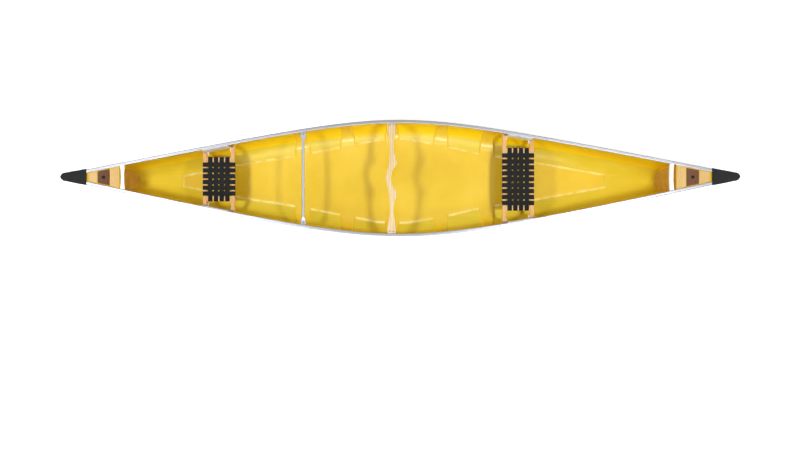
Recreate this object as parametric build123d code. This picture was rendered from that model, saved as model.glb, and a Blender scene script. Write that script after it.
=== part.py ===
from build123d import *
import math
import os

# Tandem canoe, in millimetres. +X points to the bow, +Y to port, +Z up.
# The origin is under the middle of the boat, at the height of the keel's lowest point.

# ---- Hull form -------------------------------------------------------------
overall_length = 5029.0        # tip to tip of the two end caps
stem_gap = 11.5                # cap's tip to the stem, at stem_height
stem_height = 470.0
stem_rake = 0.134              # how far the stem runs back per unit of drop, near its top
stem_hollow = 0.000428         # how fast that rake grows with the drop
forefoot_length = 235.0        # how far the rounded forefoot cuts the keel short
forefoot_height = 169.0        # where the forefoot's curve meets the straight stem
rocker = 26.0                  # rise of the keel line at each end
waist_half_beam = 446.0        # widest half beam, outside the skin
waist_height = 190.0           # where the section is widest
tumblehome = 10.0              # how much narrower the top edge is
bilge_fullness = 3.6           # exponent of the section's bottom curve
plan_softness = 0.25           # how round the plan is amidships
plan_exponent = 1.18           # how straight its sides run to the ends
stem_roundness = 0.02          # how blunt the stems are
entry_fullness = 1.3           # plan's slope at the stems, against a straight line's
centre_depth = 330.0           # keel to top edge, amidships
bow_height = 500.0             # top edge of the skin at the bow
stern_height = 480.0
bow_rise_start, bow_rise_power = 700.0, 1.72
stern_rise_start, stern_rise_power = 900.0, 1.75
mould_height = 600.0           # the form is drawn this high, then cut to the sheer

tip = overall_length / 2
stem_reach = tip - stem_gap
sheer_half_beam = waist_half_beam - tumblehome

# ---- Places along the boat ---------------------------------------------------
yoke_place = -61.0
thwart_place = -741.0
bow_cap_length, stern_cap_length = 193.5, 179.5
bow_deck_length, stern_deck_length = 437.5, 408.0    # from the tip to the deck's inner edge
bulkhead_thickness = 6.0
bow_bulkhead_top, bow_bulkhead_foot = 390.0, 447.5   # from the tip
stern_bulkhead_top, stern_bulkhead_foot = 353.5, 403.5
bulkhead_rise = 80.0           # a bulkhead's top is set out this far above the middle's edge
tank_drop = 50.0               # the tank lid lies this far below the sheer
bow_cap_start, stern_cap_start = tip - bow_cap_length, tip - stern_cap_length
bow_deck_start, stern_deck_start = tip - bow_deck_length, tip - stern_deck_length

# ---- Laminate --------------------------------------------------------------
skin = 2.5
skin_sections = 6              # equal lengths that each side of the skin is cut into
core_sections = 4
foam = 8.0                     # foam core of the floor and ribs, with its inner skin
rib_width = 98.0
rib_flare = 24.0               # how far a rib spreads to each side where it meets the floor
rib_flare_height = 95.0
rib_places = (thwart_place - 44.0, -420.0, yoke_place + 1.0, 335.0, 710.0)
core_outline = (
    (-1769.0, 50.0), (-1222.0, 157.0), (-815.0, 220.0), (-400.0, 300.0), (-170.0, 345.0),
    (60.0, 350.0), (383.0, 295.0), (652.0, 230.0), (1100.0, 162.0), (1679.0, 58.0),
)

# ---- Gunwales --------------------------------------------------------------
gunwale_out, gunwale_in = 12.0, 13.0    # reach outboard and inboard of the skin's outer face
gunwale_crown = 3.0                     # top of the gunwale above the skin's edge
gunwale_depth = 24.0                    # outer flange, below the skin's edge
inner_flange_depth = 10.0
gunwale_round = 5.0
gunwale_under_cap = 21.0
rivet_pitch = 216.0
rivet_drop = 15.0
rivet_head, rivet_dome, rivet_shank = 9.0, 2.2, 4.8
rivet_clearance = 1.6                   # shank's end to the tilted skin

# ---- End caps --------------------------------------------------------------
cap_wall = 2.5
cap_top = 7.0
cap_skirt = 29.0
cap_skirt_clearance = 16.0     # gunwale's end to the skirts
cap_nose, cap_nose_half_width = 26.0, 25.0
cap_bulge = 3.0                # how far the cap's flank bows out
cap_rim, cap_rim_length = 1.6, 9.0

# ---- Decks -----------------------------------------------------------------
deck_plate_thickness = 3.0
strip_thickness = 6.0
strip_margin = 6.0             # strip edge to gunwale
plate_under_cap = 30.0
strip_setback = 3.0            # first strip's edge from the plate's
strip_gap = 4.0
bow_strips = (64.0, 85.5, 70.5)
stern_strips = (65.0, 80.5, 62.0)
grommet_bore, grommet_barrel, grommet_flange = 10.0, 15.0, 24.0
grommet_flange_height = 3.0

# ---- Carry handles ---------------------------------------------------------
handle_width, handle_flare, handle_thickness = 22.0, 34.0, 12.0
bow_handle_gap, stern_handle_gap = 14.0, 1.0         # to the deck's inner edge
bow_handle = bow_deck_start - bow_handle_gap - handle_flare / 2
stern_handle = stern_deck_start - stern_handle_gap - handle_flare / 2

# ---- Cross members ---------------------------------------------------------
bracket_thickness = 3.0
bracket_leg = 24.0
bracket_drop = 24.0
yoke_thickness = 19.0
yoke_round = 5.0
yoke_top_drop = 2.0
yoke_end_clearance = 1.0
yoke_bolt_spacing = 31.0
yoke_bracket_length = 56.0
thwart_diameter = 22.2
thwart_tab_width, thwart_tab_thickness, thwart_tab_length = 34.0, 4.0, 28.0
thwart_tab_round = 8.0
thwart_neck = 35.0             # the tube is pressed flat over this length
thwart_bracket_length = 38.0

# ---- Seats -----------------------------------------------------------------
bar_width, bar_height, bar_round = 30.0, 19.0, 4.0
hanger_gap = 0.6               # hanger to the gunwale's inner face, at the hanger's ends
hanger_lap = 10.0              # how far a hanger's leg runs in between the bars
bar_clearance = 0.6            # bar's end to the skin
strap_width, strap_thickness = 35.0, 2.0
strap_tail = 6.0               # left open under each member, from its far corner
rail_width = 38.0
rail_gap = 3.0                 # outermost strap to the rail
rail_round = 4.0
bow_seat = dict(rear=820.0, front=1037.0, top=232.0, straps=9, pitch=46.4)
stern_seat = dict(rear=-1520.0, front=-1302.0, top=242.0, straps=6, pitch=45.2)
cross_straps, cross_pitch = 4, 44.6
bolt_diameter, bolt_head, bolt_head_height, bolt_head_round = 6.0, 14.0, 3.0, 1.8
nut_across, nut_height, bolt_tail = 11.0, 5.0, 3.0
bolt_inset = 15.0
seat_bolt_inset = 12.5         # from the skin's inner face

far = 700.0                    # further out sideways than any part of the boat


# ---- Form functions --------------------------------------------------------
def stem_line(height, inset):
    """Distance from the middle of the boat to the stem at a height above the keel."""
    drop = stem_height - height
    reach = stem_reach - stem_rake * drop - stem_hollow * drop**2
    above = max(height - inset, 0.0)
    if above < forefoot_height:
        reach -= forefoot_length * (1 - math.sqrt(above / forefoot_height)) ** 2
    entry = math.atan(sheer_half_beam * entry_fullness / stem_reach)
    return reach - inset / math.sin(entry)


def plan_taper(s):
    """Half breadth as a share of the middle's, at a share s of the way to the stem."""
    s = min(abs(s), 1.0)
    soft = plan_softness**plan_exponent
    span = (1 + plan_softness**2) ** (plan_exponent / 2) - soft
    left = max(1 - ((s * s + plan_softness**2) ** (plan_exponent / 2) - soft) / span, 0.0)
    return math.sqrt(left**2 + 2 * left * stem_roundness) / math.sqrt(1 + 2 * stem_roundness)


def half_beam(height, inset):
    """Half beam of the middle section at a height above the keel."""
    if height < waist_height:
        low = (waist_height - height) / (waist_height - inset)
        return (waist_half_beam - inset) * max(1 - low**2, 0.0) ** (1 / bilge_fullness)
    up = min((height - waist_height) / (centre_depth + 20 - waist_height), 1.0)
    tumble = (waist_half_beam - sheer_half_beam) * (1 - math.cos(math.pi * up)) / 2
    return waist_half_beam - inset - tumble


def section_point(share, inset):
    """Point of the middle section: share 0 at the keel, 1 at the waist, 2 at the top."""
    if share <= 1:
        sine = math.sin(share * math.pi / 2)
        height = waist_height - (waist_height - inset) * math.sqrt(max(1 - sine**bilge_fullness, 0.0))
        return (waist_half_beam - inset) * sine, height
    height = waist_height + (mould_height - waist_height) * (share - 1)
    return half_beam(height, inset), height


def lift(s, height):
    """Rise of a point of the form by the rocker, fading to nothing at the mould's top."""
    return rocker * abs(s) ** 3 * (1 - height / mould_height)


def sheer(x):
    """Height of the skin's top edge."""
    if x > 0:
        share = max(x - bow_rise_start, 0.0) / (stem_reach - bow_rise_start)
        return centre_depth + (bow_height - centre_depth) * share**bow_rise_power
    share = max(-x - stern_rise_start, 0.0) / (stem_reach - stern_rise_start)
    return centre_depth + (stern_height - centre_depth) * share**stern_rise_power


def half_breadth(x, z, inset=0.0):
    """Half breadth of the form at a place along the boat and a height above the base."""
    height, s = z, 0.0
    for _ in range(30):
        s = min(abs(x) / stem_line(height, inset), 1.0)
        height = (z - rocker * s**3) / (1 - rocker * s**3 / mould_height)
    return half_beam(height, inset) * plan_taper(s)


# ---- Solids of the form ----------------------------------------------------
def form(inset):
    """Closed solid of the hull's volume, inset from the outside of the skin."""
    along, around = 81, 25
    grid = []
    for i in range(along):
        s = math.sin((2 * i / (along - 1) - 1) * math.pi / 2)
        row = []
        for j in range(around):
            breadth, height = section_point(2 * j / (around - 1), inset)
            y = breadth * plan_taper(s) if 0 < i < along - 1 else 0.0
            row.append(Vector(s * stem_line(height, inset), y, height + lift(s, height)))
        grid.append(row)
    side = Face.make_surface_from_array_of_points(grid, tol=0.05, min_deg=3, max_deg=5)
    edges = side.edges()
    top = max(edges, key=lambda e: e.center().Z)
    others = [e for e in edges if e is not top]
    chord = Edge.make_line(top @ 0, top @ 1)
    middle = Face(Wire(others + [chord]))
    lid = Face(Wire([top, chord]))
    half = Solid(Shell([side, middle, lid]))
    if half.volume < 0:
        half = Solid(half.wrapped.Reversed())
    return (half + half.mirror(Plane.XZ)).clean()


def under_sheer(offset):
    """Everything below the sheer line moved up by an offset."""
    reach, floor, count = tip + 60, -80, 61
    line = [(-reach + 2 * reach * i / (count - 1)) for i in range(count)]
    top = Spline(*[(x, 0, sheer(x) + offset) for x in line])
    rest = Polyline(top @ 1, (reach, 0, floor), (-reach, 0, floor), top @ 0)
    return extrude(make_face([top, rest]), amount=far, both=True)


def block(x, y, z):
    """Box between two places along each axis."""
    size = [high - low for low, high in (x, y, z)]
    middle = [(high + low) / 2 for low, high in (x, y, z)]
    return Pos(*middle) * Box(*size)


def starboard(solid):
    return solid.mirror(Plane.XZ)


def port_sections(solid, rear, front, count):
    """The port half of a solid, cut into equal lengths that meet face to face."""
    step = (front - rear) / count
    starts = [rear + i * step for i in range(count)]
    return [solid & block((start, start + step), (0, far), (-far, far)) for start in starts]


def save(name, *solids):
    pieces = [piece for solid in solids for piece in solid.solids()]
    shape = pieces[0] if len(pieces) == 1 else Compound(pieces)
    shape.label = name
    export_step(shape, f"parts/{name}.step")
    print(name, len(pieces), round(sum(piece.volume for piece in pieces)))


os.makedirs("parts", exist_ok=True)
outside = form(0)
inside = form(skin)
lined = form(skin + foam)
below_edge = under_sheer(0)
below_flange = under_sheer(-inner_flange_depth)


# ---- Skin, floor core and ribs ---------------------------------------------
hull_skin = (outside - inside) & below_edge


def core_column():
    half = [(x, y) for x, y in core_outline]
    outline = half + [(x, -y) for x, y in reversed(half)]
    return extrude(make_face(Polyline(*outline, close=True)), amount=waist_height)


lining = inside - lined
floor_core = lining & core_column()


def rib(place):
    half, low = rib_width / 2, rib_flare_height
    outline = [
        (place - half - rib_flare, 0), (place - half, low), (place - half, mould_height),
        (place + half, mould_height), (place + half, low), (place + half + rib_flare, 0),
    ]
    face = make_face(Plane.XZ * Polyline(*outline, close=True))
    wall = extrude(face, amount=-far)
    return ((lining & wall) - core_column()) & below_flange


ribs = [rib(place) for place in rib_places]


# ---- Flotation tanks -------------------------------------------------------
def bulkhead_lean(top, foot):
    """How far a bulkhead leans outwards per unit of height."""
    return (foot - top) / (centre_depth + bulkhead_rise)


def bulkhead(end, top, foot):
    """Leaning wall across the boat, from the keel to the tank lid."""
    high, lean = mould_height, bulkhead_lean(top, foot)
    foot = tip - foot
    outline = [
        (end * foot, 0), (end * (foot + lean * high), high),
        (end * (foot + lean * high + bulkhead_thickness), high), (end * (foot + bulkhead_thickness), 0),
    ]
    wall = extrude(make_face(Plane.XZ * Polyline(*outline, close=True)), amount=far, both=True)
    return (wall & inside) & under_sheer(-tank_drop)


def tank_lid(end, top, foot):
    """Plate that closes a tank from above, between the bulkhead and the stem."""
    edge = tip - foot + bulkhead_lean(top, foot) * (sheer(end * (tip - top)) - tank_drop)
    run = sorted((end * edge, end * overall_length))
    plate = under_sheer(-tank_drop + bulkhead_thickness) - under_sheer(-tank_drop)
    return plate & inside & block(run, (-far, far), (0, mould_height))


# ---- Gunwales --------------------------------------------------------------
def edge_plane(x):
    """Plane across the gunwale: x axis outboard, y axis up, at the skin's top edge."""
    step = 1.0
    here = half_breadth(x, sheer(x))
    slope = (half_breadth(x + step, sheer(x + step)) - half_breadth(x - step, sheer(x - step))) / (2 * step)
    along = Vector(1, slope, 0).normalized()
    return Plane(origin=(x, here, sheer(x)), x_dir=Vector(-along.Y, along.X, 0), z_dir=along)


def gunwale_block():
    """Full section of the gunwale along the port side, before the skin's slot is cut."""
    height = gunwale_crown + gunwale_depth
    width = gunwale_out + gunwale_in
    outline = Rectangle(width, height)
    outline = fillet(outline.vertices().group_by(Axis.Y)[-1], gunwale_round)
    outline = Pos((gunwale_out - gunwale_in) / 2, gunwale_crown - height / 2) * outline
    count = 41
    reach = (bow_cap_start + stern_cap_start) / 2 + gunwale_under_cap
    middle = (bow_cap_start - stern_cap_start) / 2
    places = [middle + reach * math.sin((2 * i / (count - 1) - 1) * math.pi / 2) for i in range(count)]
    return loft([edge_plane(x) * outline for x in places])


def rivet(x):
    """Pop rivet in the outer flange: domed head outside, shank inwards."""
    radius = (rivet_head**2 / 4 + rivet_dome**2) / (2 * rivet_dome)
    ball = Pos(0, 0, rivet_dome - radius) * Sphere(radius)
    dome = ball & Pos(0, 0, radius) * Box(2 * radius, 2 * radius, 2 * radius)
    length = gunwale_out - rivet_clearance
    shank = Pos(0, 0, -length / 2) * Cylinder(rivet_shank / 2, length)
    plane = edge_plane(x)
    place = plane.origin + plane.x_dir * gunwale_out - Vector(0, 0, rivet_drop)
    return Plane(origin=place, x_dir=(0, 0, 1), z_dir=plane.x_dir) * (dome + shank)


rail_block = gunwale_block()
inner_slot = inside & below_flange
rivets_aside = int((min(bow_cap_start, stern_cap_start) - rivet_head) / rivet_pitch)
rivets = [rivet(i * rivet_pitch) for i in range(-rivets_aside, rivets_aside + 1)]
gunwale = rail_block - hull_skin - inner_slot
for piece in rivets:
    gunwale = gunwale - piece


# ---- End caps --------------------------------------------------------------
def end_cap(end, start):
    """Moulded cap over a stem: top plate, skirts down both sides, rim at its inner end."""
    root = half_breadth(start, sheer(end * start)) + gunwale_out + cap_wall
    shoulder = (tip - cap_nose, cap_nose_half_width)
    middle = ((start + shoulder[0]) / 2, (root + shoulder[1]) / 2 + cap_bulge)
    flank = Spline((start, root), middle, shoulder)
    nose = ThreePointArc(shoulder, (tip, 0), (shoulder[0], -shoulder[1]))
    other = Spline((shoulder[0], -shoulder[1]), (middle[0], -middle[1]), (start, -root))
    base = Line((start, -root), (start, root))
    plan = make_face([flank, nose, other, base])
    column = extrude(plan, amount=mould_height)
    rim_plan = Pos(start + cap_rim_length / 2, 0) * Rectangle(cap_rim_length, 2 * (root + cap_rim))
    rim_column = extrude(rim_plan, amount=mould_height)
    if end < 0:
        column = column.mirror(Plane.YZ)
        rim_column = rim_column.mirror(Plane.YZ)
    body = (column & under_sheer(cap_top)) - under_sheer(-cap_skirt)
    skirt_start = start + gunwale_under_cap + cap_skirt_clearance
    run = sorted((end * (start - cap_rim_length), end * skirt_start))
    body = body - (under_sheer(gunwale_crown) & block(run, (-far, far), (0, mould_height)))
    rim = (rim_column & under_sheer(cap_top + cap_rim)) - under_sheer(gunwale_crown)
    body = body + rim
    return body - (outside & below_edge) - rail_block - starboard(rail_block)


# ---- Decks -----------------------------------------------------------------
def strip_spans(start, lengths):
    """Inner and outer edge of each deck strip, outwards from the deck's inner edge."""
    spans = []
    inner = start + strip_setback
    for length in lengths:
        spans.append((inner, inner + length))
        inner += length + strip_gap
    return spans


def wedge(end, start, stop, margin):
    """Vertical column between the gunwales' inner edges, less a margin."""
    corners = []
    for x in (start, stop):
        corners.append((end * x, half_breadth(x, sheer(end * x)) - gunwale_in - margin))
    outline = corners + [(x, -y) for x, y in reversed(corners)]
    return extrude(make_face(Polyline(*outline, close=True)), amount=2 * mould_height)


def deck_plate(end, start, cap_start):
    layer = below_flange - under_sheer(-inner_flange_depth - deck_plate_thickness)
    run = sorted((end * start, end * (cap_start + plate_under_cap)))
    return layer & inside & block(run, (-far, far), (0, mould_height))


def deck_strip(end, ends):
    layer = under_sheer(-inner_flange_depth + strip_thickness) - below_flange
    return layer & wedge(end, ends[0], ends[1], strip_margin)


def grommet(end, ends):
    """Rubber-lined painter hole through the middle strip and the deck plate."""
    x = end * (ends[0] + ends[1]) / 2
    slope = math.degrees(math.atan(sheer(x + 1) - sheer(x)))
    top = sheer(x) - inner_flange_depth + strip_thickness
    seat = Pos(x, 0, top) * Rot(0, -slope, 0)
    depth = strip_thickness + deck_plate_thickness
    barrel = seat * (Pos(0, 0, (grommet_flange_height - depth) / 2)
                     * Cylinder(grommet_barrel / 2, depth + grommet_flange_height))
    flange = seat * Cylinder(grommet_flange / 2, 2 * grommet_flange_height)
    flange = flange - under_sheer(-inner_flange_depth + strip_thickness)
    bore = seat * Cylinder(grommet_bore / 2, 4 * (depth + grommet_flange_height))
    return (barrel + flange) - bore, barrel + bore


# ---- Carry handles ---------------------------------------------------------
def carry_handle(end, place):
    """Bar across the boat under the inner flanges, waisted at its middle."""
    half = half_breadth(place, sheer(end * place))
    narrow, wide = handle_width / 2, handle_flare / 2
    left = ThreePointArc((place - wide, half), (place - narrow, 0), (place - wide, -half))
    right = ThreePointArc((place + wide, half), (place + narrow, 0), (place + wide, -half))
    outline = [left, right, Line(left @ 0, right @ 0), Line(left @ 1, right @ 1)]
    column = extrude(make_face(outline), amount=mould_height)
    if end < 0:
        column = column.mirror(Plane.YZ)
    layer = below_flange - under_sheer(-inner_flange_depth - handle_thickness)
    return column & layer & inside


# ---- Brackets, bolts and cross members -------------------------------------
bracket_front = form(skin + foam + bracket_thickness)
bracket_edge = form(skin + foam + bracket_thickness + bracket_leg)


def side_bracket(place, length, shelf):
    """Angle on the port rib: its leg carries a cross member from below."""
    run = span_about(place, length)
    upright = (lined - bracket_front) & block(run, (0, far), (shelf - bracket_drop, shelf))
    leg = (lined - bracket_edge) & block(run, (0, far), (shelf - bracket_thickness, shelf))
    return upright + leg


def bolt(x, y, top, shelf):
    """Bolt down through a cross member and its bracket, with a hexagon nut below."""
    under = shelf - bracket_thickness
    head = Pos(x, y, top + bolt_head_height / 2) * Cylinder(bolt_head / 2, bolt_head_height)
    head = fillet(head.edges().group_by(Axis.Z)[-1], bolt_head_round)
    tail = under - nut_height - bolt_tail
    shank = Pos(x, y, (top + tail) / 2) * Cylinder(bolt_diameter / 2, top - tail)
    hexagon = RegularPolygon(nut_across / 2, 6, major_radius=False)
    nut = Pos(x, y, under - nut_height) * extrude(hexagon, nut_height)
    return [head + shank, nut - shank]


def drilled(solid, bolts):
    for shank, _ in bolts:
        solid = solid - shank
    return solid


def bolt_line(x, z):
    """Half breadth of the bolts that go down through a side bracket's leg."""
    return half_breadth(x, z, skin + foam + bracket_thickness) - bolt_inset


def span_about(place, length):
    """Where a piece of some length starts and ends, along the boat."""
    return place - length / 2, place + length / 2


def mirrored(bolts):
    return bolts + [(starboard(a), starboard(b)) for a, b in bolts]


# Yoke: carved ash, wide at its ends, slim between, with shoulder pads and a neck hollow.
yoke_top = centre_depth - yoke_top_drop
yoke_shelf = yoke_top - yoke_thickness
yoke_half = half_breadth(yoke_place, yoke_top) - gunwale_in - yoke_end_clearance


def yoke_shape():
    a, b, c = yoke_half - 61, yoke_half - 91, yoke_half - 122
    aft = [(yoke_half, -30), (a, -28.5), (b, -22), (c, -17), ((c + 174) / 2, -14), (174, -15.4),
           (118, -20.7), (66, -31.4), (30, -39), (0, -43.7)]
    fore = [(yoke_half, 32), (a, 31.2), (b, 26.6), (c, 20.5), ((c + 205) / 2, 17), (205, 20.5), (174, 26.6),
            (143, 36), (119, 41), (96, 31.2), (66, 12), (30, -0.6), (0, -4.7)]

    def edge(points):
        port = [(yoke_place + dx, y) for y, dx in points]
        return Spline(*port, *[(x, -y) for x, y in reversed(port[:-1])])

    back, front = edge(aft), edge(fore)
    plan = make_face([back, front, Line(back @ 0, front @ 0), Line(back @ 1, front @ 1)])
    plank = Pos(0, 0, yoke_shelf) * extrude(plan, amount=yoke_thickness)
    long_edges = [e for e in plank.edges() if e.length > yoke_half]
    return fillet(long_edges, yoke_round)


yoke_bolt_y = bolt_line(yoke_place, yoke_shelf)
yoke_bolts = []
for side in (-1, 1):
    yoke_bolts.append(bolt(yoke_place + side * yoke_bolt_spacing / 2, yoke_bolt_y, yoke_top, yoke_shelf))
yoke_bracket = drilled(side_bracket(yoke_place, yoke_bracket_length, yoke_shelf), yoke_bolts)
yoke = drilled(yoke_shape(), mirrored(yoke_bolts))

# Thwart: aluminium tube, pressed flat at each end and bolted to its brackets.
thwart_shelf = yoke_shelf
thwart_axis = thwart_shelf + thwart_tab_thickness / 2
thwart_half = half_breadth(thwart_place, thwart_axis) - gunwale_in - yoke_end_clearance


def thwart_shape():
    tab_start, lap = thwart_half - thwart_tab_length, 2.0
    tube = Cylinder(thwart_diameter / 2, 2 * (tab_start - thwart_neck))
    body = Pos(thwart_place, 0, thwart_axis) * Rot(90, 0, 0) * tube
    sections = []
    for i in range(5):
        share = (1 - math.cos(math.pi * i / 4)) / 2
        wide = thwart_diameter / 2 + (thwart_tab_width / 2 - thwart_diameter / 2) * share
        high = thwart_diameter / 2 + (thwart_tab_thickness / 2 - thwart_diameter / 2) * share
        y = tab_start - thwart_neck + thwart_neck * i / 4
        plane = Plane(origin=(thwart_place, y, thwart_axis), x_dir=(1, 0, 0), z_dir=(0, 1, 0))
        sections.append(plane * Ellipse(wide, high))
    neck = loft(sections)
    tab = block((thwart_place - thwart_tab_width / 2, thwart_place + thwart_tab_width / 2),
                (tab_start - lap, thwart_half),
                (thwart_axis - thwart_tab_thickness / 2, thwart_axis + thwart_tab_thickness / 2))
    tab = fillet(tab.edges().filter_by(Axis.Z).group_by(Axis.Y)[-1], thwart_tab_round)
    return body + neck + tab + starboard(neck) + starboard(tab)


thwart_bolt_y = bolt_line(thwart_place, thwart_shelf)
thwart_bolts = [bolt(thwart_place, thwart_bolt_y, thwart_axis + thwart_tab_thickness / 2, thwart_shelf)]
thwart_bracket = drilled(side_bracket(thwart_place, thwart_bracket_length, thwart_shelf), thwart_bolts)
thwart = drilled(thwart_shape(), mirrored(thwart_bolts))


# ---- Seats -----------------------------------------------------------------
seat_side = form(skin + bar_clearance)


def hanger(rear, front, bottom):
    """Plate hung from the port gunwale between two seat bars, with a leg under each bar."""
    half, foot = bar_width / 2, bottom - bracket_thickness
    between = (rear + half, front - half)
    outer = wedge(1, *between, hanger_gap)
    plate = (outer - wedge(1, *between, hanger_gap + bracket_thickness)) & below_edge
    plate = plate & block(between, (0, far), (foot, mould_height))
    for run in ((rear - half, between[0] + hanger_lap), (between[1] - hanger_lap, front + half)):
        leg = seat_side & block(run, (0, far), (foot, bottom))
        plate += leg - wedge(1, *run, hanger_gap + bracket_thickness + bracket_leg)
    return plate


def strap(first, second, half, top, bottom, turn, width, place):
    """Strap over two members and round under each, closed to a C below."""
    t = strap_thickness
    low, high = first - half, second + half
    outer = Pos((low + high) / 2, (top + bottom) / 2) * RectangleRounded(
        high - low + 2 * t, top - bottom + 2 * t, bar_round + t)
    inner = Pos((low + high) / 2, (top + bottom) / 2) * RectangleRounded(high - low, top - bottom, bar_round)
    gap = (first + half - strap_tail, second - half + strap_tail)
    opening = Pos(sum(gap) / 2, bottom - t) * Rectangle(gap[1] - gap[0], 4 * t)
    profile = (outer - inner) - opening
    plane = Plane(origin=turn * place, x_dir=(1, 0, 0), z_dir=(0, -1, 0))
    if turn.X:
        plane = Plane(origin=turn * place, x_dir=(0, 1, 0), z_dir=(1, 0, 0))
    return extrude(plane * profile, amount=width / 2, both=True)


def seat(name, rear, front, top, straps, pitch):
    bottom = top - bar_height
    frame_half = (straps - 1) * pitch / 2 + strap_width / 2
    rail_in = frame_half + rail_gap
    rail_mid = rail_in + rail_width / 2
    bolts, bars = [], []
    for x in (rear, front):
        bolts.append(bolt(x, half_breadth(x, bottom, skin) - seat_bolt_inset, top, bottom))
    for x in (rear, front):
        bar = block(span_about(x, bar_width), (-far, far), (bottom, top))
        bar = fillet(bar.edges().filter_by(Axis.Y), bar_round)
        bars.append(drilled(bar & seat_side, mirrored(bolts)))
    side_hanger = drilled(hanger(rear, front, bottom), bolts)
    rail = block((rear + bar_width / 2, front - bar_width / 2),
                 (rail_in, rail_in + rail_width), (bottom, top - strap_thickness))
    rail = fillet(rail.edges().filter_by(Axis.X), rail_round)
    long_straps = [
        strap(rear, front, bar_width / 2, top, bottom, Vector(0, 1, 0), strap_width,
              (i - (straps - 1) / 2) * pitch)
        for i in range(straps)
    ]
    middle = (rear + front) / 2
    wide_straps = [
        strap(-rail_mid, rail_mid, rail_width / 2, top - strap_thickness, bottom,
              Vector(1, 0, 0), strap_width, middle + (i - (cross_straps - 1) / 2) * cross_pitch)
        for i in range(cross_straps)
    ]
    save(f"{name}_seat_rear_bar", bars[0])
    save(f"{name}_seat_front_bar", bars[1])
    save(f"{name}_seat_rails", rail, starboard(rail))
    save(f"{name}_seat_lengthwise_straps", *long_straps)
    save(f"{name}_seat_crosswise_straps", *wide_straps)
    save(f"{name}_seat_hanger_port", side_hanger)
    save(f"{name}_seat_hanger_starboard", starboard(side_hanger))
    save(f"{name}_seat_bolts", *[piece for pair in mirrored(bolts) for piece in pair])


# ---- Write every piece -----------------------------------------------------
skin_pieces = port_sections(hull_skin, -stem_reach, stem_reach, skin_sections)
core_pieces = port_sections(floor_core, core_outline[0][0], core_outline[-1][0], core_sections)
for name, pieces in (("hull_skin", skin_pieces), ("floor_core", core_pieces)):
    save(f"{name}_port", *pieces)
    save(f"{name}_starboard", *[starboard(piece) for piece in pieces])
for number, piece in enumerate(ribs, 1):
    save(f"rib_{number}_port", piece)
    save(f"rib_{number}_starboard", starboard(piece))
ends = (("bow", 1, bow_bulkhead_top, bow_bulkhead_foot, bow_cap_start, bow_deck_start, bow_strips, bow_handle),
        ("stern", -1, stern_bulkhead_top, stern_bulkhead_foot, stern_cap_start, stern_deck_start, stern_strips,
         stern_handle))
for name, end, top, foot, cap, deck, strips, handle in ends:
    save(f"{name}_bulkhead", bulkhead(end, top, foot))
    save(f"{name}_tank_lid", tank_lid(end, top, foot))
    save(f"{name}_end_cap", end_cap(end, cap))
    spans = strip_spans(deck, strips)
    ring, hole = grommet(end, spans[1])
    save(f"{name}_deck_plate", deck_plate(end, deck, cap) - hole)
    for place, span in zip(("inner", "middle", "outer"), spans):
        save(f"{name}_deck_{place}_strip", deck_strip(end, span) - hole)
    save(f"{name}_deck_grommet", ring)
    save(f"{name}_carry_handle", carry_handle(end, handle))
save("gunwale_port", gunwale)
save("gunwale_starboard", starboard(gunwale))
save("gunwale_rivets_port", *rivets)
save("gunwale_rivets_starboard", *[starboard(piece) for piece in rivets])
save("portage_yoke", yoke)
save("yoke_brackets", yoke_bracket, starboard(yoke_bracket))
save("yoke_bolts", *[piece for pair in mirrored(yoke_bolts) for piece in pair])
save("thwart", thwart)
save("thwart_brackets", thwart_bracket, starboard(thwart_bracket))
save("thwart_bolts", *[piece for pair in mirrored(thwart_bolts) for piece in pair])
seat("bow", **bow_seat)
seat("stern", **stern_seat)
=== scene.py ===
import math

import bmesh
import bpy
import numpy as np
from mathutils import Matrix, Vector


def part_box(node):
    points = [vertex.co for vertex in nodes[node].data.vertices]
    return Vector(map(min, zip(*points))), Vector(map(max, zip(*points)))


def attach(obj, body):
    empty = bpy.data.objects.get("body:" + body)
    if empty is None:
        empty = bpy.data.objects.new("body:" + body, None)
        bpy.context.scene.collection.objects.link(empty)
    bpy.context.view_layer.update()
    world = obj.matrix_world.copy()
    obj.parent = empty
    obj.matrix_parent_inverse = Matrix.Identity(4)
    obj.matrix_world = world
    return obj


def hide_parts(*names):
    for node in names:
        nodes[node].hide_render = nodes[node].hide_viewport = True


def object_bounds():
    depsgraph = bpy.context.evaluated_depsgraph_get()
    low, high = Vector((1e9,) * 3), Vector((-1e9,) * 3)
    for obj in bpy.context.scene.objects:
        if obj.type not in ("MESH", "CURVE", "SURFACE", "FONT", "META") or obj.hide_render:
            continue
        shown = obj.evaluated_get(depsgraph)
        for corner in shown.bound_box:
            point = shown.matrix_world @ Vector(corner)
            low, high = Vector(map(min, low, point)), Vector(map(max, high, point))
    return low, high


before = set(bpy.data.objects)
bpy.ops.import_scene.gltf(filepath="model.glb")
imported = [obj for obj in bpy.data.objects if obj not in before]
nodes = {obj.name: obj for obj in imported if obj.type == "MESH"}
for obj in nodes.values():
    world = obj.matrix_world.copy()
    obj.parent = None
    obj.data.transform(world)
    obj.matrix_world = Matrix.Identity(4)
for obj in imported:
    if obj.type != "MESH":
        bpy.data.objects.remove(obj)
cad_low, cad_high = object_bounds()

# Tandem canoe, in metres. +X points to the bow, +Y to port, +Z up.

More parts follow.
